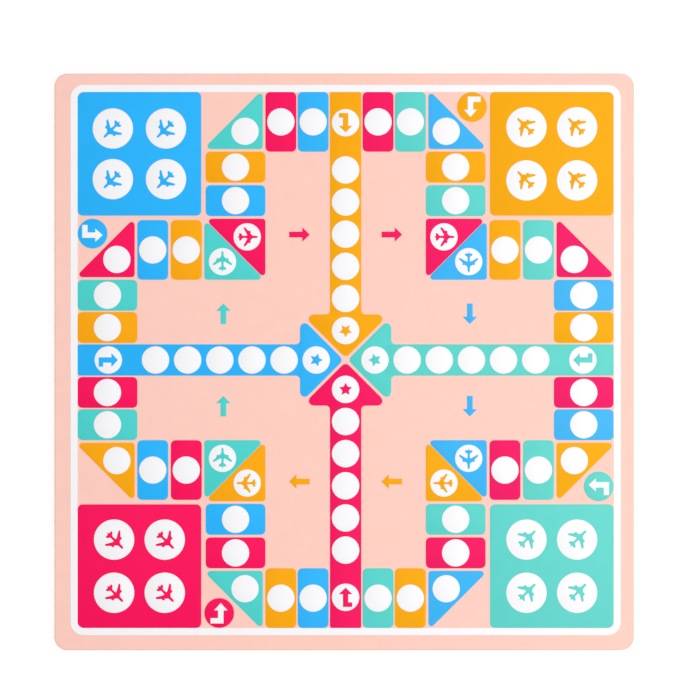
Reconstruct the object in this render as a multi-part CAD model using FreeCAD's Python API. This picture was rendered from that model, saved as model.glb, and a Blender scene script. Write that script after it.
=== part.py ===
import FreeCAD, Part
import math
import os
from collections import defaultdict

# Double-sided board for ludo and for snakes and ladders. A fibreboard core carries a printed paper
# sheet on each face, and each ink is a thin film: the ground first, the colours on it, white last.
# Millimetres. Z is up, the ludo face is on top, and the origin is the middle of the lower face.

# Layers
core_thickness = 3.9
sheet_thickness = 0.25
ink_thickness = 0.1

# Panel outline and the white line that frames each print; a margin is the ground outside that line
board_corner_radius = 6.8
edge_ease = 0.5
margin_left = 8.4
margin_right = 7.1
margin_front = 8.0
margin_back = 6.05
line_width = 3.65
line_corner_radius = 6.7

# Track: a margin is the colour left round a spot, a gap is the ground left between two fields
track_spot_diameter = 14.1
card_margin = 0.95
card_length = 30.9
card_corner_radius = 2.3
card_gap = 0.7
lane_gap = 1.35
corner_margin = 2.15
corner_slope_margin = 1.75
corner_tip_gap = 0.8
flight_margin = 2.35
flight_slope_margin = 1.9
flight_split = 0.1
field_corner_radius = 1.5

# Home runs with their arrowheads
home_spot_diameter = 14.15
home_margin = 1.02
home_spot_gap = 2.48
first_spot_reach = 15.2
entry_spot_inset = 15.9
head_reach = 23.6
head_split = 1.46
head_corner_radius = 2.4
neck_radius = 2.0
run_corner_radius = 1.0
home_spot_count = 6

# Yards where the tokens wait, and the start badges beside them
yard_gap = 1.6
yard_corner_radius = 2.4
yard_spot_diameter = 20.85
yard_spot_gap_narrow = 5.35
yard_spot_gap_wide = 6.65
badge_diameter = 15.4
badge_yard_gap = 1.6
badge_line_gap = 0.05
badge_slope_gap = 1.8

# Snakes and ladders grid and figures
square_gap = 1.0
ladder_width = 13.0
rail_width = 2.4
rung_width = 2.2
rung_pitch = 11.0
rail_overhang = 5.0
snake_width = 8.0
snake_head_width = 13.0
snake_head_length = 18.0
snake_bend = 6.5
squares_per_side = 10

# The many small inks are drawn with few flats: in each rounded corner, round a spot, along a snake's bend
corner_flat_count = 3
spot_flat_count = 20
bend_flat_count = 6

# Ink colours in the order in which the track repeats them. A quarter of the track, at the back, left, front
# or right, has as many steps before the home run as after it. Two cards at the back are swapped.
track_cycle = ("crimson", "blue", "amber", "mint")
side_step_count = 6
swapped_steps = {(0, 7): 8, (0, 8): 7}
home_colours = [track_cycle[(side_step_count - quarter) % len(track_cycle)] for quarter in range(4)]

# Square numbers that each ladder and each snake joins: (foot, top) and (head, tail)
ladder_square_numbers = ((3, 39), (12, 48), (36, 77), (60, 82), (68, 92))
snake_square_numbers = {"blue": (94, 55), "mint": (63, 17), "amber": (47, 6), "crimson": (71, 30)}

# Track sizes that follow from the spots
spot_radius = track_spot_diameter / 2
card_width = track_spot_diameter + 2 * card_margin
run_width = home_spot_diameter + 2 * home_margin
corner_inset = spot_radius + corner_margin
corner_leg = 2 * corner_inset + math.sqrt(2) * (spot_radius + corner_slope_margin)
flight_inset = spot_radius + flight_margin
flight_leg = 2 * flight_inset + math.sqrt(2) * (spot_radius + flight_slope_margin)
flight_side = flight_leg + math.sqrt(2) * flight_split

# Distances from the middle of the print, outwards
lane_start = run_width / 2 + 2 * (card_gap + card_width)
lane_end = lane_start + flight_side
bend_end = lane_start + max(flight_side, card_length)
corner_u = lane_start + lane_gap
corner_start = lane_end + 3 * lane_gap + 2 * card_width
field_half = corner_start + corner_leg - math.sqrt(2) * field_corner_radius + corner_tip_gap
line_half = field_half + line_width
line_inner_radius = max(line_corner_radius - line_width, 0)

# A start badge keeps off the white line and off the sloping side of the corner field beside it. Its yard
# starts past the badge and past the bend of the track.
badge_radius = badge_diameter / 2
badge_v = field_half - badge_line_gap - badge_radius
slope_reach = corner_u + corner_start + corner_leg
least_badge_u = slope_reach + math.sqrt(2) * (badge_radius + badge_slope_gap) - badge_v
yard_start = max(bend_end + yard_gap, least_badge_u + badge_radius + badge_yard_gap)
badge_u = yard_start - badge_yard_gap - badge_radius

# Board size, and the middle of the ludo print, which its uneven margins set off the board's middle
board_width = 2 * line_half + margin_left + margin_right
board_depth = 2 * line_half + margin_front + margin_back
print_x = (margin_left - margin_right) / 2
print_y = (margin_front - margin_back) / 2

# Levels, from the lower face upwards
figure_level = 0
square_level = figure_level + ink_thickness
snakes_ground_level = square_level + ink_thickness
snakes_sheet_level = snakes_ground_level + ink_thickness
core_level = snakes_sheet_level + sheet_thickness
ludo_sheet_level = core_level + core_thickness
ludo_ground_level = ludo_sheet_level + sheet_thickness
field_level = ludo_ground_level + ink_thickness
spot_level = field_level + ink_thickness

nodes = defaultdict(list)


def rounded_wire(corners, flats=0):
    """Closed flat outline through (x, y, radius) corners. Each corner with a radius is a tangent arc, or
    that many flats with their ends on the arc."""
    points = [FreeCAD.Vector(x, y, 0) for x, y, radius in corners]
    bends = []
    for i, here in enumerate(points):
        radius = corners[i][2]
        back = points[i - 1] - here
        ahead = points[(i + 1) % len(points)] - here
        back.normalize()
        ahead.normalize()
        inward = back + ahead
        inward.normalize()
        half_angle = back.getAngle(ahead) / 2
        centre = here + inward * (radius / math.sin(half_angle))
        sweep = math.copysign(180 - 2 * math.degrees(half_angle), ahead.cross(back).z)
        stops = [k / (flats or 2) - 0.5 for k in range((flats or 2) + 1)]
        turns = [FreeCAD.Rotation(FreeCAD.Vector(0, 0, 1), stop * sweep) for stop in stops]
        bends.append([centre - turn.multVec(inward) * radius for turn in turns] if radius > 0 else [here])
    edges = []
    for i, bend in enumerate(bends):
        if flats or len(bend) == 1:
            edges += [Part.LineSegment(a, b).toShape() for a, b in zip(bend, bend[1:])]
        else:
            edges.append(Part.Arc(*bend).toShape())
        edges.append(Part.LineSegment(bend[-1], bends[(i + 1) % len(bends)][0]).toShape())
    return Part.Wire(edges)


def block(x, y, width, length, radius):
    """Corners of a block centred on a point, all rounded alike."""
    signs = ((-1, -1), (1, -1), (1, 1), (-1, 1))
    return [(x + a * width / 2, y + b * length / 2, radius) for a, b in signs]


def film(wire, level, thickness):
    """Flat layer with that outline, from its level upwards."""
    face = Part.Face(wire)
    face.translate(FreeCAD.Vector(0, 0, level))
    return face.extrude(FreeCAD.Vector(0, 0, thickness))


def disc(centre, diameter, level):
    """Round film of one ink."""
    turns = [2 * math.pi * i / spot_flat_count for i in range(spot_flat_count + 1)]
    arms = [FreeCAD.Vector(math.cos(turn), math.sin(turn), 0) * (diameter / 2) for turn in turns]
    return film(Part.makePolygon([FreeCAD.Vector(*centre, 0) + arm for arm in arms]), level, ink_thickness)


def turned(u, v, quarter):
    """Place on the board of a point that lies u to the right of a home run's middle and v out along it."""
    x, y = ((u, v), (-v, u), (-u, -v), (v, -u))[quarter]
    return print_x + x, print_y + y


def field(corners, quarter):
    """One coloured field, from its corners beside a home run."""
    wire = rounded_wire([(*turned(u, v, quarter), radius) for u, v, radius in corners], corner_flat_count)
    return film(wire, field_level, ink_thickness)


def frame_line(x, y, level, thickness):
    """White line round a print, with its inner corners parallel to the outer ones."""
    outer = block(x, y, 2 * line_half, 2 * line_half, line_corner_radius)
    inner = block(x, y, 2 * field_half, 2 * field_half, line_inner_radius)
    wires = [rounded_wire(corners, corner_flat_count) for corners in (outer, inner)]
    return film(wires[0], level, thickness).cut(film(wires[1], level, thickness))


# Core panel: fibreboard, cut with rounded corners, its edges eased above and below
core_wire = rounded_wire(block(0, 0, board_width, board_depth, board_corner_radius))
core = film(core_wire, core_level, core_thickness)
rims = [edge for edge in core.Edges if edge.BoundBox.ZLength < edge_ease]
nodes["core_panel"].append(core.makeChamfer(edge_ease, rims))

# Paper sheets: glued on both faces, trimmed where the core's edge begins to fall away, ground ink all over
sheet_width = board_width - 2 * edge_ease
sheet_depth = board_depth - 2 * edge_ease
sheet_wire = rounded_wire(block(0, 0, sheet_width, sheet_depth, max(board_corner_radius - edge_ease, 0)))
nodes["ludo_sheet"].append(film(sheet_wire, ludo_sheet_level, sheet_thickness))
nodes["ludo_ground"].append(film(sheet_wire, ludo_ground_level, ink_thickness))
nodes["snakes_sheet"].append(film(sheet_wire, snakes_sheet_level, sheet_thickness))
nodes["snakes_ground"].append(film(sheet_wire, snakes_ground_level, ink_thickness))

# White lines: laid on the ground in two passes, so they end level with the last ink of their face
nodes["ludo_line"].append(frame_line(print_x, print_y, field_level, 2 * ink_thickness))
nodes["snakes_line"].append(frame_line(0, 0, figure_level, 2 * ink_thickness))

# Track: the six fields on one side of a home run, from the flight field round the bend to the run itself
side_card_u = lane_start + card_length / 2
inner_card_v = lane_end + lane_gap + card_width / 2
outer_card_v = inner_card_v + card_width + lane_gap
near_card_u = run_width / 2 + card_gap + card_width / 2
far_card_u = near_card_u + card_width + card_gap
end_card_v = field_half - card_length / 2
flight_corners = [
    (lane_start, lane_end, field_corner_radius),
    (lane_start, lane_end - flight_leg, field_corner_radius),
    (lane_start + flight_leg, lane_end, field_corner_radius),
]
corner_corners = [
    (corner_u, corner_start, field_corner_radius),
    (corner_u + corner_leg, corner_start, field_corner_radius),
    (corner_u, corner_start + corner_leg, field_corner_radius),
]
side_card = (card_length, card_width, card_corner_radius)
end_card = (card_width, card_length, card_corner_radius)
places = [
    ("flight_fields", flight_corners, (lane_start + flight_inset, lane_end - flight_inset)),
    ("track_cards", block(side_card_u, inner_card_v, *side_card), (side_card_u, inner_card_v)),
    ("track_cards", block(side_card_u, outer_card_v, *side_card), (side_card_u, outer_card_v)),
    ("corner_fields", corner_corners, (corner_u + corner_inset, corner_start + corner_inset)),
    ("track_cards", block(far_card_u, end_card_v, *end_card), (far_card_u, end_card_v)),
    ("track_cards", block(near_card_u, end_card_v, *end_card), (near_card_u, end_card_v)),
]
for quarter in range(4):
    for side in (-1, 1):
        for place, (kind, corners, spot) in enumerate(places):
            step = place if side < 0 else 2 * side_step_count - place
            step = swapped_steps.get((quarter, step), step)
            colour = track_cycle[(step - quarter) % len(track_cycle)]
            nodes[f"{kind}_{colour}"].append(field([(side * u, v, r) for u, v, r in corners], quarter))
            spot_centre = turned(side * spot[0], spot[1], quarter)
            nodes["track_spots"].append(disc(spot_centre, track_spot_diameter, spot_level))

# Home runs: a strip from the white line to an arrowhead whose point lies near the middle of the board
head_point = head_split / math.sqrt(2)
head_half = head_reach - head_point
run_outline = [
    (0, head_point, head_corner_radius),
    (head_half, head_reach, head_corner_radius),
    (run_width / 2, head_reach, neck_radius),
    (run_width / 2, field_half, run_corner_radius),
    (-run_width / 2, field_half, run_corner_radius),
    (-run_width / 2, head_reach, neck_radius),
    (-head_half, head_reach, head_corner_radius),
]
home_spot_pitch = home_spot_diameter + home_spot_gap
home_spot_reaches = [first_spot_reach + i * home_spot_pitch for i in range(home_spot_count)]
home_spot_reaches.append(field_half - entry_spot_inset)
for quarter, colour in enumerate(home_colours):
    nodes[f"home_run_{colour}"].append(field(run_outline, quarter))
    for reach in home_spot_reaches:
        nodes["home_spots"].append(disc(turned(0, reach, quarter), home_spot_diameter, spot_level))

# Yards: a square in each corner of the line, with four large spots, and a round start badge beside it.
# The spots of the blue yard stand wider apart across the board, the others wider along it.
yard_outline = [
    (yard_start, yard_start, yard_corner_radius),
    (field_half, yard_start, yard_corner_radius),
    (field_half, field_half, line_inner_radius),
    (yard_start, field_half, yard_corner_radius),
]
yard_middle = (yard_start + field_half) / 2
spots_narrow = yard_spot_diameter + yard_spot_gap_narrow
spots_wide = yard_spot_diameter + yard_spot_gap_wide
for quarter, colour in enumerate(home_colours):
    nodes[f"yard_{colour}"].append(field(yard_outline, quarter))
    middle_x, middle_y = turned(yard_middle, yard_middle, quarter)
    across, along = (spots_wide, spots_narrow) if colour == "blue" else (spots_narrow, spots_wide)
    for a, b in ((-1, -1), (1, -1), (1, 1), (-1, 1)):
        yard_spot = (middle_x + a * across / 2, middle_y + b * along / 2)
        nodes["yard_spots"].append(disc(yard_spot, yard_spot_diameter, spot_level))
    badge_centre = turned(badge_u, badge_v, quarter)
    nodes[f"start_badge_{colour}"].append(disc(badge_centre, badge_diameter, field_level))

# Squares: every other square of the grid is white, the ground shows as the rest
square_pitch = 2 * field_half / squares_per_side
square_side = square_pitch - square_gap


def square_middle(number):
    """Middle of a numbered square. Numbers start at the lower left as the lower face is read from below,
    with its left at +X, and every other row runs back."""
    row, column = divmod(number - 1, squares_per_side)
    last = squares_per_side - 1
    column = last - column if row % 2 else column
    return FreeCAD.Vector((last / 2 - column) * square_pitch, (row - last / 2) * square_pitch, 0)


for number in range(1, squares_per_side ** 2 + 1, 2):
    corner = square_middle(number) - FreeCAD.Vector(square_side / 2, square_side / 2, -square_level)
    nodes["white_squares"].append(Part.makeBox(square_side, square_side, ink_thickness, corner))


def ladder(foot, top):
    """Two rails with rungs spread evenly between them, as one film."""
    climb = top - foot
    length = climb.Length + 2 * rail_overhang
    rung_count = int(climb.Length / rung_pitch) + 1
    bars = [block(a * (ladder_width - rail_width) / 2, 0, rail_width, length, 0) for a in (-1, 1)]
    for i in range(rung_count):
        height = (i / (rung_count - 1) - 0.5) * climb.Length
        bars.append(block(0, height, ladder_width - rail_width, rung_width, 0))
    films = [film(rounded_wire(bar), figure_level, ink_thickness) for bar in bars]
    shape = films[0].multiFuse(films[1:]).removeSplitter()
    lean = math.degrees(math.atan2(-climb.x, climb.y))
    shape.rotate(FreeCAD.Vector(0, 0, 0), FreeCAD.Vector(0, 0, 1), lean)
    shape.translate((foot + top) / 2)
    return shape.Solids[0]


for place, (foot, top) in enumerate(ladder_square_numbers, 1):
    nodes[f"ladder_{place}"].append(ladder(square_middle(foot), square_middle(top)))


def snake(head, tail):
    """Outline along a sine wave from snout to tail. Half its width is an oval at the head, and then the
    body's, which thins to a point with the fourth power of the way along."""
    line = tail - head
    bend_count = round(line.Length / square_pitch)
    ahead = FreeCAD.Vector(line)
    ahead.normalize()
    left = FreeCAD.Vector(-ahead.y, ahead.x, 0)
    snout = head - ahead * (snake_head_length / 2)
    length = line.Length + snake_head_length / 2
    wave = math.pi * bend_count / length
    sides = {1: [], -1: []}
    for i in range(bend_count * bend_flat_count + 1):
        way = length * i / (bend_count * bend_flat_count)
        slope = math.atan(snake_bend * wave * math.cos(wave * way))
        spine = snout + ahead * way + left * (snake_bend * math.sin(wave * way))
        oval = math.sqrt(max(1 - (2 * way / snake_head_length - 1) ** 2, 0))
        body = snake_width * (1 - (way / length) ** 4) if way > snake_head_length / 2 else 0
        half = max(snake_head_width * oval, body) / 2
        across = left * math.cos(slope) - ahead * math.sin(slope)
        for side, points in sides.items():
            points.append(spine + across * (side * half))
    outline = sides[1] + sides[-1][-2:0:-1]
    return film(Part.makePolygon(outline + outline[:1]), figure_level, ink_thickness)


for colour, (head, tail) in snake_square_numbers.items():
    nodes[f"snake_{colour}"].append(snake(square_middle(head), square_middle(tail)))

os.makedirs("parts", exist_ok=True)
for name, solids in nodes.items():
    shape = solids[0] if len(solids) == 1 else Part.makeCompound(solids)
    shape.exportStep(f"parts/{name}.step")
print(f"board {board_width:.2f} x {board_depth:.2f} x {spot_level + ink_thickness:.2f}, {len(nodes)} nodes")
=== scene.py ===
import math

import bmesh
import bpy
import numpy as np
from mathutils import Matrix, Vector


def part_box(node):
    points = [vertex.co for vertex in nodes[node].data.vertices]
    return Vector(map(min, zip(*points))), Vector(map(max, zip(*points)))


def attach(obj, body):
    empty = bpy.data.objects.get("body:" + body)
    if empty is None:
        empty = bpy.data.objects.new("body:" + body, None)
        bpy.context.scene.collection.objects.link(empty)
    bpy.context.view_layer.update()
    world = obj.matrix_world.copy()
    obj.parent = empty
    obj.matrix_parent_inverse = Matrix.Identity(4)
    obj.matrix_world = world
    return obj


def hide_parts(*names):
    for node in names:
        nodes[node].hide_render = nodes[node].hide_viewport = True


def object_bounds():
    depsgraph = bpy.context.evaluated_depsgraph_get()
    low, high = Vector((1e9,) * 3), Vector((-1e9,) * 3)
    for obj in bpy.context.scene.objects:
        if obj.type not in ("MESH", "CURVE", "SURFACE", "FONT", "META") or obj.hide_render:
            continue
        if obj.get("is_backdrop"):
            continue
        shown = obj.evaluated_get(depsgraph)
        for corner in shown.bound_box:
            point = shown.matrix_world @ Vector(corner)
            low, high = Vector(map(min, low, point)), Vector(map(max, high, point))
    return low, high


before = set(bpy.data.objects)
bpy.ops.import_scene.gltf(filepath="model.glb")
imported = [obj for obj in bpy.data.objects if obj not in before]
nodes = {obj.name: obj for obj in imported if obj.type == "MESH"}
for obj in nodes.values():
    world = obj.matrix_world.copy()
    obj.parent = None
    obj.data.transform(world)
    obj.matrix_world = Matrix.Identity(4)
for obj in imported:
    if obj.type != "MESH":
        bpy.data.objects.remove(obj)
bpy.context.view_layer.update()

# Core panel
# Medium-density fibreboard, sawn square with rounded corners. Its edge is eased on a sander and sprayed
# with pink lacquer, and the printed sheets are glued on both faces.
mm = 0.001
panel_corner = 6.8 * mm
panel_ease = 0.5 * mm
panel_corner_steps = 16
panel_ease_steps = 7
crease_angle = math.radians(40)


def rounded_box(low, high, radius, steps):
    """Outline of a box with round corners, counter-clockwise, and the outward direction at each point: a
    quarter circle about each corner's centre, with the straight sides between the quarters."""
    turn = np.linspace(0, np.pi / 2, steps) + np.arange(4)[:, None] * np.pi / 2
    outward = np.stack((np.cos(turn), np.sin(turn)), -1)
    upper = np.array(((1, 1), (0, 1), (0, 0), (1, 0)), bool)
    centre = np.where(upper, np.array(high)[:2] - radius, np.array(low)[:2] + radius)
    return (centre[:, None] + radius * outward).reshape(-1, 2), outward.reshape(-1, 2)


def closed(rings, loop=False):
    """Closed surface through rings of points: neighbouring rings are joined by quads, and the first and
    the last ring are closed flat, or joined too in a loop. A shape is its points, the vertex numbers of
    all its faces in a row, and the faces' sizes."""
    numbers = np.arange(rings.shape[0] * rings.shape[1]).reshape(rings.shape[:2])
    below, above = (numbers, np.roll(numbers, -1, 0)) if loop else (numbers[:-1], numbers[1:])
    walls = np.stack((below, np.roll(below, -1, 1), np.roll(above, -1, 1), above), -1)
    caps = [] if loop else [numbers[0][::-1], numbers[-1]]
    corners = np.concatenate((walls.ravel(), *caps))
    sizes = np.concatenate((np.full(walls.size // 4, 4), np.array([len(cap) for cap in caps], int)))
    return rings.reshape(-1, 3), corners, sizes


def carried(outline, outward, profile, loop=False):
    """A profile carried round a closed outline: each of its (inset, height) points gives a ring, which is
    the outline moved inwards by the inset. The outline comes counter-clockwise, and is turned round under
    a profile that falls, so that the faces point outwards."""
    inset, height = np.array(profile).T
    if height.mean() < height[0]:
        outline, outward = outline[::-1], outward[::-1]
    rings = outline - outward * inset[:, None, None]
    heights = np.broadcast_to(height[:, None, None], (*rings.shape[:2], 1))
    return closed(np.concatenate((rings, heights), -1), loop)


def show(name, shape, material, slot, replaced=(), **attributes):
    """Puts a shape into a mesh with its material and point attributes, and lets it ride with the board."""
    points, corners, sizes = shape
    mesh = bpy.data.meshes.new(name)
    mesh.vertices.add(len(points))
    mesh.vertices.foreach_set("co", points.ravel())
    mesh.loops.add(len(corners))
    mesh.loops.foreach_set("vertex_index", corners)
    mesh.polygons.add(len(sizes))
    mesh.polygons.foreach_set("loop_start", np.cumsum(sizes) - sizes)
    mesh.update(calc_edges=True)
    mesh.polygons.foreach_set("use_smooth", np.ones(len(sizes), bool))
    mesh.set_sharp_from_angle(angle=crease_angle)
    for key, values in attributes.items():
        kind, field = ("FLOAT", "value") if values.ndim == 1 else ("FLOAT_VECTOR", "vector")
        mesh.attributes.new(key, kind, "POINT").data.foreach_set(field, values.ravel())
    mesh.materials.append(material)
    piece = bpy.data.objects.new(name, mesh)
    bpy.context.scene.collection.objects.link(piece)
    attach(piece, "root")
    if replaced:
        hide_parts(*replaced)


def linear(colour):
    """Linear colour of an sRGB hex value."""
    share = np.array([int(colour[i:i + 2], 16) for i in (1, 3, 5)]) / 255
    return [*np.where(share <= 0.04045, share / 12.92, ((share + 0.055) / 1.055) ** 2.4).tolist(), 1]


def add(tree, kind, inputs, **settings):
    """Adds a node with its settings; each of its inputs is linked to a socket or set to a value."""
    made = tree.nodes.new("ShaderNode" + kind)
    for name, value in settings.items():
        setattr(made, name, value)
    for key, value in inputs.items():
        if isinstance(value, bpy.types.NodeSocket):
            tree.links.new(value, made.inputs[key])
        else:
            made.inputs[key].default_value = value
    return made


def new_material(name, roughness, specular):
    """A material with its node tree and its shader."""
    material = bpy.data.materials.new(name)
    material.use_nodes = True
    tree = material.node_tree
    shader = tree.nodes["Principled BSDF"]
    shader.inputs["Roughness"].default_value = roughness
    shader.inputs["Specular IOR Level"].default_value = specular
    return material, tree, shader


# Sprayed lacquer on sanded fibreboard: the spray leaves a soft orange peel. Along the eased edge, brown
# fibre streaks show and darken it. They are partly the board's bare fibre and partly painted shade of the
# rounded edge.
lacquer_cloud = 9 * mm
lacquer_peel, lacquer_peel_depth = 1.4 * mm, 0.05 * mm
fibre_width, fibre_width_share = 0.5 * mm, 0.12
lacquer, tree, shader = new_material("lacquered_fibreboard", roughness=0.52, specular=0.12)
place = add(tree, "TexCoord", {}).outputs["Object"]
cloud = add(tree, "TexNoise", {"Vector": place, "Scale": 1 / lacquer_cloud, "Detail": 4})
tones = {0: cloud.outputs["Fac"], 6: linear("#FACDBF"), 7: linear("#F4C3B4")}
coat = add(tree, "Mix", tones, data_type="RGBA")
along = add(tree, "Mapping", {"Vector": place, "Scale": (fibre_width_share, fibre_width_share, 1)})
fibre = add(tree, "TexNoise", {"Vector": along.outputs["Vector"], "Scale": 1 / fibre_width, "Detail": 3})
# Painted shade: brown fibre streaks darken the eased edge, where the edge attribute marks it.
edge = add(tree, "Attribute", {}, attribute_name="edge")
edge_shade_range = {"Value": fibre.outputs["Fac"], "From Min": 0.6, "From Max": 0.8, "To Max": 0.45}
shown = add(tree, "MapRange", edge_shade_range)
edge_shade = add(tree, "Math", {0: shown.outputs["Result"], 1: edge.outputs["Fac"]}, operation="MULTIPLY")
body = add(tree, "Mix", {0: edge_shade.outputs[0], 6: coat.outputs[2], 7: linear("#C79E80")}, data_type="RGBA")
peel = add(tree, "TexNoise", {"Vector": place, "Scale": 1 / lacquer_peel, "Detail": 2})
bump = add(tree, "Bump", {"Height": peel.outputs["Fac"], "Strength": 0.25, "Distance": lacquer_peel_depth})
gloss = add(tree, "MapRange", {"Value": cloud.outputs["Fac"], "To Min": 0.46, "To Max": 0.6})
tree.links.new(body.outputs[2], shader.inputs["Base Color"])
tree.links.new(gloss.outputs["Result"], shader.inputs["Roughness"])
tree.links.new(bump.outputs["Normal"], shader.inputs["Normal"])

panel_low, panel_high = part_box("core_panel")
panel_outline = rounded_box(panel_low, panel_high, panel_corner, panel_corner_steps)
fall = np.linspace(0, np.pi / 2, panel_ease_steps)
eased = panel_ease * np.stack((1 - np.sin(fall), 1 - np.cos(fall)), -1)
panel_profile = np.concatenate((eased + (0, panel_low.z), (eased * (1, -1) + (0, panel_high.z))[::-1]))
panel = carried(*panel_outline, panel_profile)
# Marks the eased rings, which carry the painted edge shade.
panel_edge = np.repeat([0, *[1] * (len(panel_profile) - 2), 0], len(panel_outline[0])).astype(float)
show("core_panel_eased", panel, lacquer, "lacquered_fibreboard", ["core_panel"], edge=panel_edge)

# Paper sheets
# Heavy white paper, printed flat, then glued to the core and trimmed just inside its eased edge. Only the
# cut edge shows, as a thin pale line with a soft fibrous surface.
paper_fibre, paper_fibre_depth = 0.7 * mm, 0.04 * mm
paper, tree, shader = new_material("uncoated_paper", roughness=0.85, specular=0.2)
place = add(tree, "TexCoord", {}).outputs["Object"]
felted = {"Vector": place, "Scale": 1 / paper_fibre, "Detail": 5, "Distortion": 0.6}
fibres = add(tree, "TexNoise", felted)
tones = {0: fibres.outputs["Fac"], 6: linear("#FBF9F5"), 7: linear("#EEE8DE")}
pulp = add(tree, "Mix", tones, data_type="RGBA")
bump = add(tree, "Bump", {"Height": fibres.outputs["Fac"], "Strength": 0.3, "Distance": paper_fibre_depth})
tree.links.new(pulp.outputs[2], shader.inputs["Base Color"])
tree.links.new(bump.outputs["Normal"], shader.inputs["Normal"])
for name in ("ludo_sheet", "snakes_sheet"):
    nodes[name].material_slots[0].material = paper

# Ground inks
# The first pass on each sheet: an opaque pink all over it. All the inks are screened on thickly and cured,
# and dry to a satin film.
ink_cloud = 7 * mm
ink_peel, ink_peel_depth = 1.1 * mm, 0.03 * mm
ink_roughness, ink_specular = 0.6, 0.08
# Where the painted sheen of the light from the right begins and where it is full, across the board.
sheen_start, sheen_end = -60 * mm, 135 * mm


def printed_ink(name, colour, thin_share=0.97, sheen_colour=None):
    """Cured screen ink: its density wanders by a few percent over some millimetres, and the mesh of the
    screen leaves a fine orange peel, drawn about twice as coarse as it is so that it shows. An ink with a
    colour for the right changes evenly to it from left to right: painted sheen of the light from the right."""
    material, tree, shader = new_material(name, ink_roughness, ink_specular)
    place = add(tree, "TexCoord", {}).outputs["Object"]
    across = add(tree, "SeparateXYZ", {0: place})
    # Painted sheen: the base colour changes evenly from its own colour to its colour for the right, from
    # left to right.
    pale = add(tree, "MapRange", {"Value": across.outputs[0], "From Min": sheen_start, "From Max": sheen_end})
    ends = {0: pale.outputs["Result"], 6: linear(colour), 7: linear(sheen_colour or colour)}
    full = add(tree, "Mix", ends, data_type="RGBA")
    cloud = add(tree, "TexNoise", {"Vector": place, "Scale": 1 / ink_cloud, "Detail": 5, "Roughness": 0.6})
    lie = add(tree, "MapRange", {"Value": cloud.outputs["Fac"], "From Min": 0.3, "From Max": 0.7})
    layer = {0: lie.outputs["Result"], 6: full.outputs[2], 7: (thin_share, thin_share, thin_share, 1)}
    body = add(tree, "Mix", layer, data_type="RGBA", blend_type="MULTIPLY")
    peel = add(tree, "TexNoise", {"Vector": place, "Scale": 1 / ink_peel, "Detail": 2})
    bump = add(tree, "Bump", {"Height": peel.outputs["Fac"], "Strength": 0.2, "Distance": ink_peel_depth})
    gloss = add(tree, "MapRange", {"Value": peel.outputs["Fac"], "To Min": 0.52, "To Max": 0.66})
    tree.links.new(body.outputs[2], shader.inputs["Base Color"])
    tree.links.new(gloss.outputs["Result"], shader.inputs["Roughness"])
    tree.links.new(bump.outputs["Normal"], shader.inputs["Normal"])
    return material


pink_ink = printed_ink("screen_ink_pink", "#FBCBBE")
for name in ("ludo_ground", "snakes_ground"):
    nodes[name].material_slots[0].material = pink_ink

# Coloured fields
# The second pass on the ludo sheet: cards and triangles of the track, the home runs with their arrowheads
# and the four yards, each colour through its own screen. The cured ink draws in a little at its rim. The
# colours turn paler towards the right, as painted sheen of the light from that side.
field_rounding = 0.35 * mm
ink_rim = 0.03 * mm
rim_turn_share = 0.3
ink_colours = {"crimson": "#F80E5B", "blue": "#29B3FA", "amber": "#F9A706", "mint": "#4DD1CB"}
# Colours as they show at the right of the board, with painted sheen of the light from the right.
sheen_colours = {"crimson": "#EE1D67", "blue": "#47B4EE", "amber": "#F2A90C", "mint": "#67D2C8"}
colour_inks = {
    colour: printed_ink(f"screen_ink_{colour}", value, sheen_colour=sheen_colours[colour])
    for colour, value in ink_colours.items()
}


def solid_points(name, count):
    """Points of the separate solids of a node, which hold equally many each."""
    points = np.zeros(3 * len(nodes[name].data.vertices))
    nodes[name].data.vertices.foreach_get("co", points)
    return points.reshape(count, -1, 3)


def joined(shapes):
    """Several shapes as one: the vertex numbers of each move on by the points before it."""
    points, corners, sizes = zip(*shapes)
    firsts = np.cumsum([0, *map(len, points)])
    moved = [numbers + first for numbers, first in zip(corners, firsts)]
    return np.concatenate(points), np.concatenate(moved), np.concatenate(sizes)


def film(outlines, base, face):
    """Ink films as one shape: each rises straight from the base and turns in at a soft rim to its face."""
    rim = min(ink_rim, abs(face - base) / 2)
    rise = math.copysign(rim, face - base)
    shoulder = (rim_turn_share * rim, face - rim_turn_share * rise)
    profile = ((0, base), (0, face - rise), shoulder, (rim, face))
    return joined([carried(*outline, profile) for outline in outlines])


def with_outward(outline):
    """An outline with its outward directions, square to the line between each point's neighbours."""
    along = np.roll(outline, -1, 0) - np.roll(outline, 1, 0)
    outward = np.stack((along[:, 1], -along[:, 0]), -1)
    return outline, outward / np.linalg.norm(outward, axis=1)[:, None]


def softened(outline, cut):
    """Outline with its corners cut twice: each time two points go on each side, a quarter in from its
    ends, or as far in as the cut on a long side. The second cut is half as long."""
    for cut_length in (cut, cut / 2):
        side = np.roll(outline, -1, 0) - outline
        share = np.minimum(0.25, cut_length / np.linalg.norm(side, axis=1))[:, None]
        outline = np.stack((outline + share * side, outline + (1 - share) * side), 1).reshape(-1, 2)
    return outline


def field_outlines(name, count, centre=None):
    """Outlines of the separate fields of a node, counter-clockwise: the points of each field's face in the
    order of their direction from its middle, or from a given centre, with the corners softened."""
    outlines = []
    for points in solid_points(name, count):
        face = np.unique(points[points[:, 2] > points[:, 2].mean(), :2].round(7), axis=0)
        x, y = (face - (face.mean(0) if centre is None else centre)).T
        outlines.append(with_outward(softened(face[np.argsort(np.arctan2(y, x))], field_rounding)))
    return outlines


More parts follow.
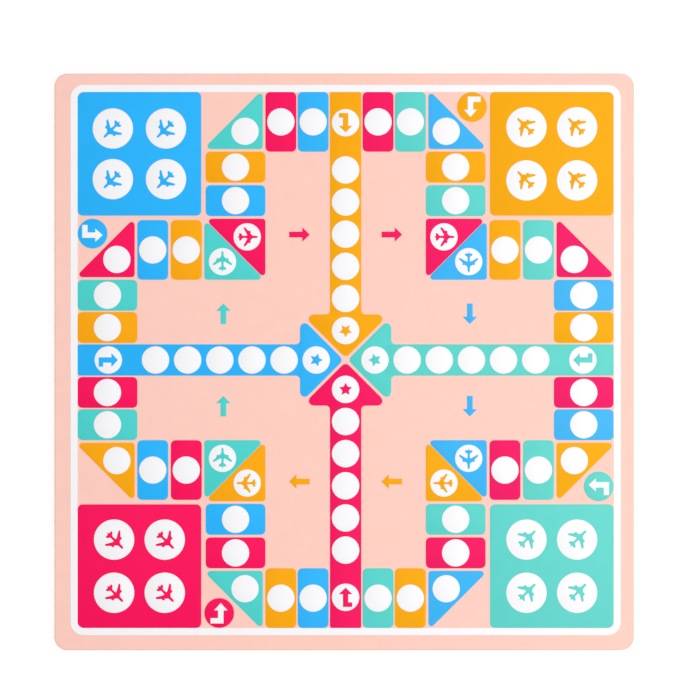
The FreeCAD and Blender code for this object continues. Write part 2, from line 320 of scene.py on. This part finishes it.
home_colours = ("amber", "blue", "crimson", "mint")
spots_per_home = 7
home_spot_count = len(home_colours) * spots_per_home
home_points = solid_points("home_spots", home_spot_count)
home_centres = ((home_points.min(1) + home_points.max(1))[:, :2] / 2).reshape(-1, spots_per_home, 2)
finish_centres, entry_centres = home_centres[:, 0], home_centres[:, -1]
field_counts = {"track_cards": 8, "corner_fields": 2, "flight_fields": 2, "home_run": 1, "yard": 1}
field_low, field_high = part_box("yard_amber")
for colour, finish in zip(home_colours, finish_centres):
    for kind, count in field_counts.items():
        outlines = field_outlines(f"{kind}_{colour}", count, finish if kind == "home_run" else None)
        shape = film(outlines, field_low.z, field_high.z)
        show(f"{kind}_{colour}_print", shape, colour_inks[colour], f"ink_{colour}", [f"{kind}_{colour}"])

# Start badges
# A round field beside each yard, printed with its colour in the same pass, where a token enters the
# track.
disc_steps = 64


def disc(centre, radius):
    """Circle about a centre, counter-clockwise, and its outward directions."""
    turn = np.arange(disc_steps) * 2 * np.pi / disc_steps
    outward = np.stack((np.cos(turn), np.sin(turn)), -1)
    return centre + radius * outward, outward


badge_centres = []
for colour in home_colours:
    name = f"start_badge_{colour}"
    low, high = (np.array(corner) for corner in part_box(name))
    badge_centres.append((low + high)[:2] / 2)
    badge = film([disc(badge_centres[-1], (high - low)[0] / 2)], low[2], high[2])
    show(f"{name}_print", badge, colour_inks[colour], f"ink_{colour}", [name])

# White lines and spots
# The last large pass: the line that frames each print, and the round spots that tokens stand on. The
# white is laid on thickly enough to hide the colours under it.
sign_thickness = 0.04 * mm
line_width = 3.65 * mm
line_corner = 6.7 * mm
line_corner_steps = 14
white_ink = printed_ink("screen_ink_white", "#F5F4F7", 0.98)
for name, is_upper in (("ludo_line", True), ("snakes_line", False)):
    low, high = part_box(name)
    base, face = (low.z, high.z) if is_upper else (high.z, low.z)
    shoulder = face - math.copysign(ink_rim, face - base)
    across = np.array((0, 0, ink_rim, line_width - ink_rim, line_width, line_width))
    profile = np.stack((across, (base, shoulder, face, face, shoulder, base)), -1)
    line = carried(*rounded_box(low, high, line_corner, line_corner_steps), profile, loop=True)
    show(f"{name}_print", line, white_ink, "ink_white", [name])
spot_counts = {"track_spots": 48, "home_spots": home_spot_count, "yard_spots": 16}
spot_centres = {}
for name, count in spot_counts.items():
    points = solid_points(name, count)
    low, high = points.min(1), points.max(1)
    spot_centres[name] = (low + high)[:, :2] / 2
    spot_base, spot_face = low[0, 2], high[0, 2] - sign_thickness
    spots = [disc(centre, (high - low)[0, 0] / 2) for centre in spot_centres[name]]
    show(f"{name}_round", film(spots, spot_base, spot_face), white_ink, "ink_white", [name])

# Aeroplanes
# Small plain aeroplane signs, printed with the colours on the spots: one in each spot of the yards, which
# points past the yard's corner, and one in each flight spot, which points along the flight.
yard_plane_scale = 1.1
yard_plane_lead = 0.5 * mm
plane_rounding = 0.25 * mm
print_middle = spot_centres["home_spots"].mean(0)
flight_colours = ("crimson", "mint", "amber", "blue")
flight_count = 8

# Half of the flight aeroplane's outline from nose to tail, in millimetres: (forward, aside)
plane_half = np.array((
    (5.55, 0), (5.3, 0.42), (4.55, 0.6), (3.0, 0.62), (2.4, 0.95), (1.6, 1.98), (1.86, 2.2), (1.83, 2.86),
    (1.52, 3.17), (0.57, 3.12), (-1.02, 4.88), (-1.62, 4.94), (-1.96, 4.57), (-0.03, 1.15),
    (-0.08, 0.62), (-2.38, 0.54), (-3.15, 1.76), (-3.78, 1.98), (-4.3, 1.82), (-4.08, 0.75),
    (-4.36, 0.32), (-5.25, 0),
)) * mm


def quarter_of(points, lead=0.0):
    """Quarter of the board that each point lies in, counted anticlockwise from the back: its direction
    from the middle in quarter turns, moved on by the lead and rounded."""
    x, y = (points - print_middle).T
    return np.round(np.arctan2(-x, y) / (np.pi / 2) + lead).astype(int) % 4


def turned(points, quarter):
    """Points turned by quarter turns, anticlockwise."""
    return points @ np.linalg.matrix_power(np.array(((0, 1), (-1, 0))), quarter)


def show_signs(kind, outline, centres, quarters, colours, base, thickness):
    """Shows a sign at each centre, turned with its quarter of the board and in the quarter's colour."""
    for quarter, colour in enumerate(colours):
        here = turned(outline, quarter)
        outlines = [with_outward(centre + here) for centre in centres[quarters == quarter]]
        shape = film(outlines, base, base + thickness)
        show(f"{kind}_{colour}", shape, colour_inks[colour], f"ink_{colour}")


plane = softened(np.concatenate((plane_half, plane_half[-2:0:-1] * (1, -1))), plane_rounding)
diagonal = np.array(((-1, 1), (-1, -1))) / math.sqrt(2)
yard_plane = (yard_plane_scale * plane + (yard_plane_lead, 0)) @ diagonal
yard_centres = spot_centres["yard_spots"]
yard_quarters = quarter_of(yard_centres, 0.5)
show_signs("yard_planes", yard_plane, yard_centres, yard_quarters, home_colours, spot_face, sign_thickness)
reach = np.linalg.norm(spot_centres["track_spots"] - print_middle, axis=1)
flight_centres = spot_centres["track_spots"][np.argsort(reach)[:flight_count]]
flight_quarters = quarter_of(flight_centres)
show_signs(
    "flight_planes", plane, flight_centres, flight_quarters, flight_colours, spot_face, sign_thickness,
)

# Arrows
# Arrows that show the way: a straight one on the ground on each side of a flight path, at each quarter's
# own distance from the middle, a bent one on the spot where a home run begins, and a white one on each
# start badge.
track_arrow_aside = 23.9 * mm
track_arrow_reaches = np.array((64.9, 63.25, 62.9, 64.3)) * mm
track_arrow_thickness = 0.1 * mm
badge_arrow_shift = np.array((-0.8, 0.1)) * mm
badge_arrow_thickness = 0.08 * mm


def straight_arrow(length, shaft, head_length, head_width):
    """Arrow that points along X, about its middle, from sizes in millimetres."""
    tip, neck, half, side = length / 2, length / 2 - head_length, shaft / 2, head_width / 2
    points = (
        (-tip, -half), (neck, -half), (neck, -side), (tip, 0), (neck, side), (neck, half), (-tip, half),
    )
    return np.array(points) * mm


def bent_arrow(reach, height, bar, shaft, head_length, head_width):
    """Arrow whose bar comes in from the left at the top and bends down into the shaft, which stands on
    X = 0, from sizes in millimetres."""
    top, neck, half, side = height / 2, head_length - height / 2, shaft / 2, head_width / 2
    points = (
        (-reach, top), (-reach, top - bar), (-half, top - bar), (-half, neck), (-side, neck), (0, -top),
        (side, neck), (half, neck), (half, top),
    )
    return np.array(points) * mm


track_arrow = straight_arrow(length=10.65, shaft=2.95, head_length=3.8, head_width=7.5)
track_arrow_centres = np.array([
    print_middle + turned(np.array((side * track_arrow_aside, reach)), quarter)
    for quarter, reach in enumerate(track_arrow_reaches) for side in (1, -1)
])
track_arrow_quarters = np.repeat(np.arange(4), 2)
ground_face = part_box("ludo_ground")[1].z
show_signs(
    "track_arrows", track_arrow, track_arrow_centres, track_arrow_quarters, flight_colours, ground_face,
    track_arrow_thickness,
)
entry_arrow = bent_arrow(reach=3.45, height=10, bar=2.35, shaft=2.75, head_length=3.4, head_width=7.1)
entry_quarters = quarter_of(entry_centres)
show_signs(
    "entry_arrow", entry_arrow, entry_centres, entry_quarters, home_colours, spot_face, sign_thickness,
)
badge_arrow = bent_arrow(reach=5.3, height=10.6, bar=2.8, shaft=2.85, head_length=3.8, head_width=6.9)
badge_arrow = (badge_arrow * (-1, 1))[::-1] + badge_arrow_shift
badge_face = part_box("start_badge_amber")[1].z
badge_outlines = [
    with_outward(centre + turned(badge_arrow, quarter)) for quarter, centre in enumerate(badge_centres)
]
badge_arrows = film(badge_outlines, badge_face, badge_face + badge_arrow_thickness)
show("start_badge_arrows", badge_arrows, white_ink, "ink_white")

# Finish stars
# A plain star, printed with the colours on the innermost spot of each home run, marks its end. It is
# upright for the player who sits there.
star_radius = 3.7 * mm
star_waist_share = 0.45
star_rounding = 0.4 * mm
star_points = np.arange(10)
star_turn = -np.pi / 2 + star_points * np.pi / 5
star_reach = star_radius * np.where(star_points % 2, star_waist_share, 1)
star = softened(star_reach[:, None] * np.stack((np.cos(star_turn), np.sin(star_turn)), -1), star_rounding)
finish_quarters = quarter_of(finish_centres)
show_signs("finish_star", star, finish_centres, finish_quarters, home_colours, spot_face, sign_thickness)

# Numbered squares
# On the lower sheet every other square is white. Each square has its number printed with brown ink in the
# corner that is its upper left when the board is turned over.
nodes["white_squares"].material_slots[0].material = white_ink
squares_per_side = 10
square_gap = 1 * mm
number_height = 5.2 * mm
number_margin = 2 * mm
number_thickness = 0.03 * mm
digit_advance_share = 0.68
digit_curve_steps = 3
weld_distance = 1e-5
squares_low, squares_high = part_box("white_squares")
square_pitch = (squares_high.x - squares_low.x + square_gap) / squares_per_side
square_face = squares_low.z
grid_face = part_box("snakes_ground")[0].z
brown_ink = printed_ink("screen_ink_brown", "#96623C", 0.88)


def square_middles(numbers):
    """Middles of numbered squares. Numbers start at the lower left as the lower face is read from below,
    with its left at +X, and every other row runs back."""
    row, column = np.divmod(np.array(numbers) - 1, squares_per_side)
    last = squares_per_side - 1
    column = np.where(row % 2, last - column, column)
    return np.stack((last / 2 - column, row - last / 2), -1) * square_pitch


def digit_shape(letter):
    """A digit one unit high and one unit thick as a closed shape: the font's outline, filled and raised,
    centred across and standing on Y = 0."""
    curve = bpy.data.curves.new("digit", "FONT")
    curve.body = letter
    curve.extrude = 0.5
    curve.resolution_u = digit_curve_steps
    mesh = bpy.data.meshes.new_from_object(bpy.data.objects.new("digit", curve))
    welded = bmesh.new()
    welded.from_mesh(mesh)
    bmesh.ops.remove_doubles(welded, verts=welded.verts, dist=weld_distance)
    caps = [face for face in welded.faces if len(face.verts) == 3]
    seams = [edge for edge in welded.edges if all(len(face.verts) == 3 for face in edge.link_faces)]
    bmesh.ops.beautify_fill(welded, faces=caps, edges=seams)
    bmesh.ops.recalc_face_normals(welded, faces=welded.faces)
    welded.to_mesh(mesh)
    points = np.zeros((len(mesh.vertices), 3))
    corners = np.zeros(len(mesh.loops), int)
    sizes = np.zeros(len(mesh.polygons), int)
    mesh.vertices.foreach_get("co", points.ravel())
    mesh.loops.foreach_get("vertex_index", corners)
    mesh.polygons.foreach_get("loop_total", sizes)
    points[:, :2] /= np.ptp(points[:, 1])
    low, high = points.min(0), points.max(0)
    return points - ((low[0] + high[0]) / 2, low[1], 0), corners, sizes


digits = {letter: digit_shape(letter) for letter in "0123456789"}
digit_size = np.array((-number_height, number_height, -number_thickness))
digit_advance = digit_advance_share * number_height
number_corner = (square_pitch - square_gap) / 2 - number_margin
number_shapes = []
numbers = np.arange(1, squares_per_side ** 2 + 1)
for number, middle in zip(numbers, square_middles(numbers)):
    base = square_face if number % 2 else grid_face
    for order, letter in enumerate(str(number)):
        points, corners, sizes = digits[letter]
        x = middle[0] + number_corner - (order + 0.5) * digit_advance
        y = middle[1] + number_corner - number_height
        number_shapes.append((points * digit_size + (x, y, base - number_thickness / 2), corners, sizes))
show("square_numbers", joined(number_shapes), brown_ink, "ink_brown")

# Ladders
# Each ladder is two rails and its rungs, printed with brown ink over the squares. Streaks along each bar
# and dark nail heads make the print look like wood.
ladder_squares = ((3, 39), (12, 48), (36, 77), (60, 82), (68, 92))
ladder_width, rail_width, rung_width = 13 * mm, 2.4 * mm, 2.2 * mm
rung_pitch, rail_overhang = 11 * mm, 5 * mm
bar_radius = 0.9 * mm
bar_corner_steps = 6
nail_radius = 0.55 * mm
print_step = 0.02 * mm
streak_width, streak_length = 0.7 * mm, 9 * mm
streak_shift = 17
figure_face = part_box("ladder_1")[0].z
rail_face = figure_face + print_step
rung_face = figure_face + 2 * print_step

# Ink printed like wood: streaks of two browns that follow each bar.
ladder_ink, tree, shader = new_material("screen_ink_wood_print", ink_roughness, ink_specular)
bar_place = add(tree, "Attribute", {}, attribute_name="bar_place").outputs["Vector"]
along = add(tree, "Mapping", {"Vector": bar_place, "Scale": (1 / streak_width, 1 / streak_length, 1)})
streaked = {"Vector": along.outputs["Vector"], "Scale": 1, "Detail": 3, "Distortion": 0.4}
streak = add(tree, "TexNoise", streaked)
lie = add(tree, "MapRange", {"Value": streak.outputs["Fac"], "From Min": 0.35, "From Max": 0.65})
tones = {0: lie.outputs["Result"], 6: linear("#B57A48"), 7: linear("#8A5630")}
wood = add(tree, "Mix", tones, data_type="RGBA")
tree.links.new(wood.outputs[2], shader.inputs["Base Color"])
nail_ink = printed_ink("screen_ink_nail_brown", "#4E3220", 0.85)

for number, (foot, top) in enumerate(square_middles(ladder_squares), 1):
    climb = np.linalg.norm(top - foot)
    up = (top - foot) / climb
    axes = np.array(((up[1], -up[0]), up))
    middle = (foot + top) / 2
    rung_count = int(climb / rung_pitch) + 1
    heights = np.linspace(-climb / 2, climb / 2, rung_count)
    rail_x = (ladder_width - rail_width) / 2
    bars = []
    bar_places = []
    for centre, half in (
        *[((side * rail_x, 0), (rail_width / 2, climb / 2 + rail_overhang)) for side in (-1, 1)],
        *[((0, height), (rail_x, rung_width / 2)) for height in heights],
    ):
        centre, half = np.array(centre), np.array(half)
        outline, outward = rounded_box(centre - half, centre + half, bar_radius, bar_corner_steps)
        is_rail = half[1] > half[0]
        bar_face = rail_face if is_rail else rung_face
        bar = film([(middle + outline @ axes, outward @ axes)], grid_face, bar_face)
        local = (bar[0][:, :2] - middle) @ axes.T + centre * streak_shift
        local = local if is_rail else local[:, ::-1]
        bars.append(bar)
        bar_places.append(np.concatenate((local, np.zeros((len(local), 1))), 1))
    name = f"ladder_{number}"
    bar_places = np.concatenate(bar_places)
    show(f"{name}_bars", joined(bars), ladder_ink, "ink_brown", [name], bar_place=bar_places)
    nail_centres = [
        np.array((side * rail_x, height)) @ axes + middle for side in (-1, 1) for height in heights
    ]
    nails = film([disc(centre, nail_radius) for centre in nail_centres], rail_face, figure_face)
    show(f"{name}_nails", nails, nail_ink, "ink_brown")

# Snakes
# Each snake is printed with one of the four colours over the squares, and its back is overprinted with
# darker diamonds. Its eyes and forked tongue are printed last.
snake_squares = {"blue": (94, 55), "mint": (63, 17), "amber": (47, 6), "crimson": (71, 30)}
snake_tints = {"blue": "#0F78C4", "mint": "#1E9A90", "amber": "#E27400", "crimson": "#A80A40"}
snake_width, snake_bend = 8 * mm, 6.5 * mm
head_width, head_length = 13 * mm, 18 * mm
tail_width = 0.2 * mm
snake_rim = 0.02 * mm
snake_steps, snake_step_power = 320, 1.1
diamond_length = 11 * mm
diamond_slope = 1.25
diamond_fade = 12
skin_thin_share = 0.93
eye_place, eye_radius, pupil_radius = np.array((6.2, 2.9)) * mm, 1.9 * mm, 0.95 * mm
tongue_depth = 0.03 * mm
snake_face = figure_face + 2 * print_step
eye_face = figure_face + print_step

# Outline of the forked tongue, in millimetres: (forward, aside)
tongue = np.array((
    (-2, 0.5), (3.4, 0.45), (6.2, 1.7), (4.6, 0), (6.2, -1.7), (3.4, -0.45), (-2, -0.5),
)) * mm


def snake_skin(name, colour, tint):
    """Printed snake skin: diamonds in a darker tone along the middle of the back, where the way along in
    diamond lengths, folded to and fro, and the way aside together stay under a limit."""
    material, tree, shader = new_material(name, ink_roughness, ink_specular)
    place = add(tree, "TexCoord", {}).outputs["Object"]
    skin_place = add(tree, "Attribute", {}, attribute_name="skin").outputs["Vector"]
    skin = add(tree, "SeparateXYZ", {0: skin_place})
    turns = add(tree, "Math", {0: skin.outputs[0], 1: 1 / diamond_length}, operation="MULTIPLY")
    part = add(tree, "Math", {0: turns.outputs[0], 1: 1.0}, operation="PINGPONG")
    side = add(tree, "Math", {0: skin.outputs[1]}, operation="ABSOLUTE")
    sloped = {0: side.outputs[0], 1: diamond_slope, 2: part.outputs[0]}
    rise = add(tree, "Math", sloped, operation="MULTIPLY_ADD")
    limit = {"Value": rise.outputs[0], "From Min": 0.72, "From Max": 0.76, "To Min": 1, "To Max": 0}
    diamond = add(tree, "MapRange", limit)
    on_back = add(tree, "Math", {0: diamond.outputs["Result"], 1: skin.outputs[2]}, operation="MULTIPLY")
    cloud = add(tree, "TexNoise", {"Vector": place, "Scale": 1 / ink_cloud, "Detail": 4})
    thin = [*(skin_thin_share * np.array(linear(colour)[:3])).tolist(), 1]
    body = add(tree, "Mix", {0: cloud.outputs["Fac"], 6: linear(colour), 7: thin}, data_type="RGBA")
    drawn = add(tree, "Mix", {0: on_back.outputs[0], 6: body.outputs[2], 7: linear(tint)}, data_type="RGBA")
    tree.links.new(drawn.outputs[2], shader.inputs["Base Color"])
    return material


def snake_body(head, tail):
    """Ribbon along a sine wave from snout to tail. Half its width is an oval at the head, and then the
    body's, which thins to a point with the fourth power of the way along. Returns its rings, their places
    on the skin, and the snout's place, its direction and the direction across."""
    line = tail - head
    span = np.linalg.norm(line)
    ahead = line / span
    left = np.array((-ahead[1], ahead[0]))
    length = span + head_length / 2
    wave = np.pi * round(span / square_pitch) / length
    way = length * np.linspace(0, 1, snake_steps) ** snake_step_power
    bends = snake_bend * np.sin(wave * way)
    spine = head + ahead * (way - head_length / 2)[:, None] + left * bends[:, None]
    slope = np.arctan(snake_bend * wave * np.cos(wave * way))
    across = left * np.cos(slope)[:, None] - ahead * np.sin(slope)[:, None]
    oval = np.sqrt(np.maximum(1 - (2 * way / head_length - 1) ** 2, 0))
    body = np.where(way > head_length / 2, snake_width * (1 - (way / length) ** 4), 0)
    half = np.maximum(np.maximum(head_width * oval, body), tail_width) / 2
    aside = np.array((-1, -0.97, -0.5, 0, 0.5, 0.97, 1, 1, -1))
    shoulder = snake_face + snake_rim
    levels = np.array((shoulder, *[snake_face] * 5, shoulder, grid_face, grid_face))
    flat = spine[:, None] + across[:, None] * (half[:, None] * aside)[..., None]
    rings = np.concatenate((flat, np.broadcast_to(levels[:, None], (*flat.shape[:2], 1))), -1)
    back = (way > head_length) * np.minimum(diamond_fade * (1 - way / length), 1)
    skin = np.stack(np.broadcast_arrays(way[:, None], aside, back[:, None]), -1).reshape(-1, 3)
    return rings, skin, spine[0], np.array((-across[0][1], across[0][0])), across[0]


for colour, (head, tail) in zip(snake_squares, square_middles(list(snake_squares.values()))):
    name = f"snake_{colour}"
    rings, skin, snout, forward, across = snake_body(head, tail)
    skin_ink = snake_skin(f"screen_ink_{name}", ink_colours[colour], snake_tints[colour])
    show(f"{name}_skin", closed(rings), skin_ink, f"ink_{colour}", [name], skin=skin)
    axes = np.array((forward, across))
    eyes = [snout + (eye_place * (-1, side)) @ axes for side in (-1, 1)]
    whites = film([disc(eye, eye_radius) for eye in eyes], snake_face, eye_face)
    show(f"{name}_eyes", whites, white_ink, "ink_white")
    pupils = film([disc(eye, pupil_radius) for eye in eyes], eye_face, figure_face)
    show(f"{name}_pupils", pupils, nail_ink, "ink_brown")
    forked = film([with_outward(snout + tongue @ axes)], grid_face, snake_face + tongue_depth)
    show(f"{name}_tongue", forked, colour_inks["crimson"], "ink_crimson")

# Studio
# A white table under plain soft light: an even white room, a broad lamp almost overhead, a weak one from
# the right, and one from below for the lower face. The camera looks straight down.
table_size = 3.0
table_drop = 0.02 * mm
table_white = 1.08
table_glow = 0.08
room_level = 0.45
lamp_spread = math.radians(25)
overhead_strength, below_strength = 1.28, 1.6
overhead_tilt = (math.radians(-3), math.radians(5), 0)
side_power, side_size = 1.75, 0.3
side_place = (0.55, 0.0, 0.55)
view_width = 351.8 * mm
view_place = np.array((-2.25, 11.32)) * mm
lens, sensor = 100.0, 36.0

bpy.ops.mesh.primitive_plane_add(size=table_size, location=(0, 0, -table_drop))
table = bpy.context.object
table.name = "table"
white_table = bpy.data.materials.new("white_table")
white_table.use_nodes = True
tree = white_table.node_tree
tree.nodes.clear()
# The table shows only to the camera and only from above, so that the lower face can be lit and looked at.
ray = add(tree, "LightPath", {})
side = add(tree, "NewGeometry", {})
front = add(tree, "Math", {0: 1.0, 1: side.outputs["Backfacing"]}, operation="SUBTRACT")
seen = add(tree, "Math", {0: ray.outputs["Is Camera Ray"], 1: front.outputs[0]}, operation="MULTIPLY")
cloth = add(tree, "BsdfDiffuse", {"Color": (table_white, table_white, table_white, 1)})
glow = add(tree, "Emission", {"Strength": table_glow})
white = add(tree, "AddShader", {0: cloth.outputs[0], 1: glow.outputs[0]})
clear = add(tree, "BsdfTransparent", {})
mixed = add(tree, "MixShader", {0: seen.outputs[0], 1: clear.outputs[0], 2: white.outputs[0]})
add(tree, "OutputMaterial", {"Surface": mixed.outputs[0]})
table.data.materials.append(white_table)
table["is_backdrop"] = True

# The room is bright to the camera and in reflections, and dimmer as a light.
scene = bpy.context.scene
scene.world = bpy.data.worlds.new("white_room")
scene.world.use_nodes = True
tree = scene.world.node_tree
ray = add(tree, "LightPath", {})
bright = {0: ray.outputs["Is Camera Ray"], 1: ray.outputs["Is Glossy Ray"]}
seen = add(tree, "Math", bright, operation="ADD")
seen = add(tree, "Math", {0: seen.outputs[0], 1: ray.outputs["Is Transmission Ray"]}, operation="ADD")
level = add(tree, "MapRange", {"Value": seen.outputs[0], "To Min": room_level, "To Max": 1})
tree.nodes["Background"].inputs["Color"].default_value = (1, 1, 1, 1)
tree.links.new(level.outputs["Result"], tree.nodes["Background"].inputs["Strength"])

overhead = bpy.data.lights.new("overhead", "SUN")
overhead.energy = overhead_strength
overhead.angle = lamp_spread
lamp = bpy.data.objects.new("overhead", overhead)
lamp.rotation_euler = overhead_tilt
scene.collection.objects.link(lamp)

aside = bpy.data.lights.new("aside", "AREA")
aside.energy = side_power
aside.size = side_size
lamp = bpy.data.objects.new("aside", aside)
lamp.location = side_place
lamp.rotation_euler = (0, math.atan2(side_place[0], side_place[2]), 0)
scene.collection.objects.link(lamp)

below = bpy.data.lights.new("below", "SUN")
below.energy = below_strength
below.angle = lamp_spread
lamp = bpy.data.objects.new("below", below)
lamp.rotation_euler = (math.pi, 0, 0)
scene.collection.objects.link(lamp)

board_low, board_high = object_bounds()
middle = (np.array(board_low) + np.array(board_high))[:2] / 2
camera = bpy.data.cameras.new("camera")
camera.lens, camera.sensor_width = lens, sensor
eye = bpy.data.objects.new("camera", camera)
eye.location = (*(middle + view_place).tolist(), board_high[2] + view_width * lens / sensor)
scene.collection.objects.link(eye)
scene.camera = eye
scene.view_settings.view_transform = "Standard"
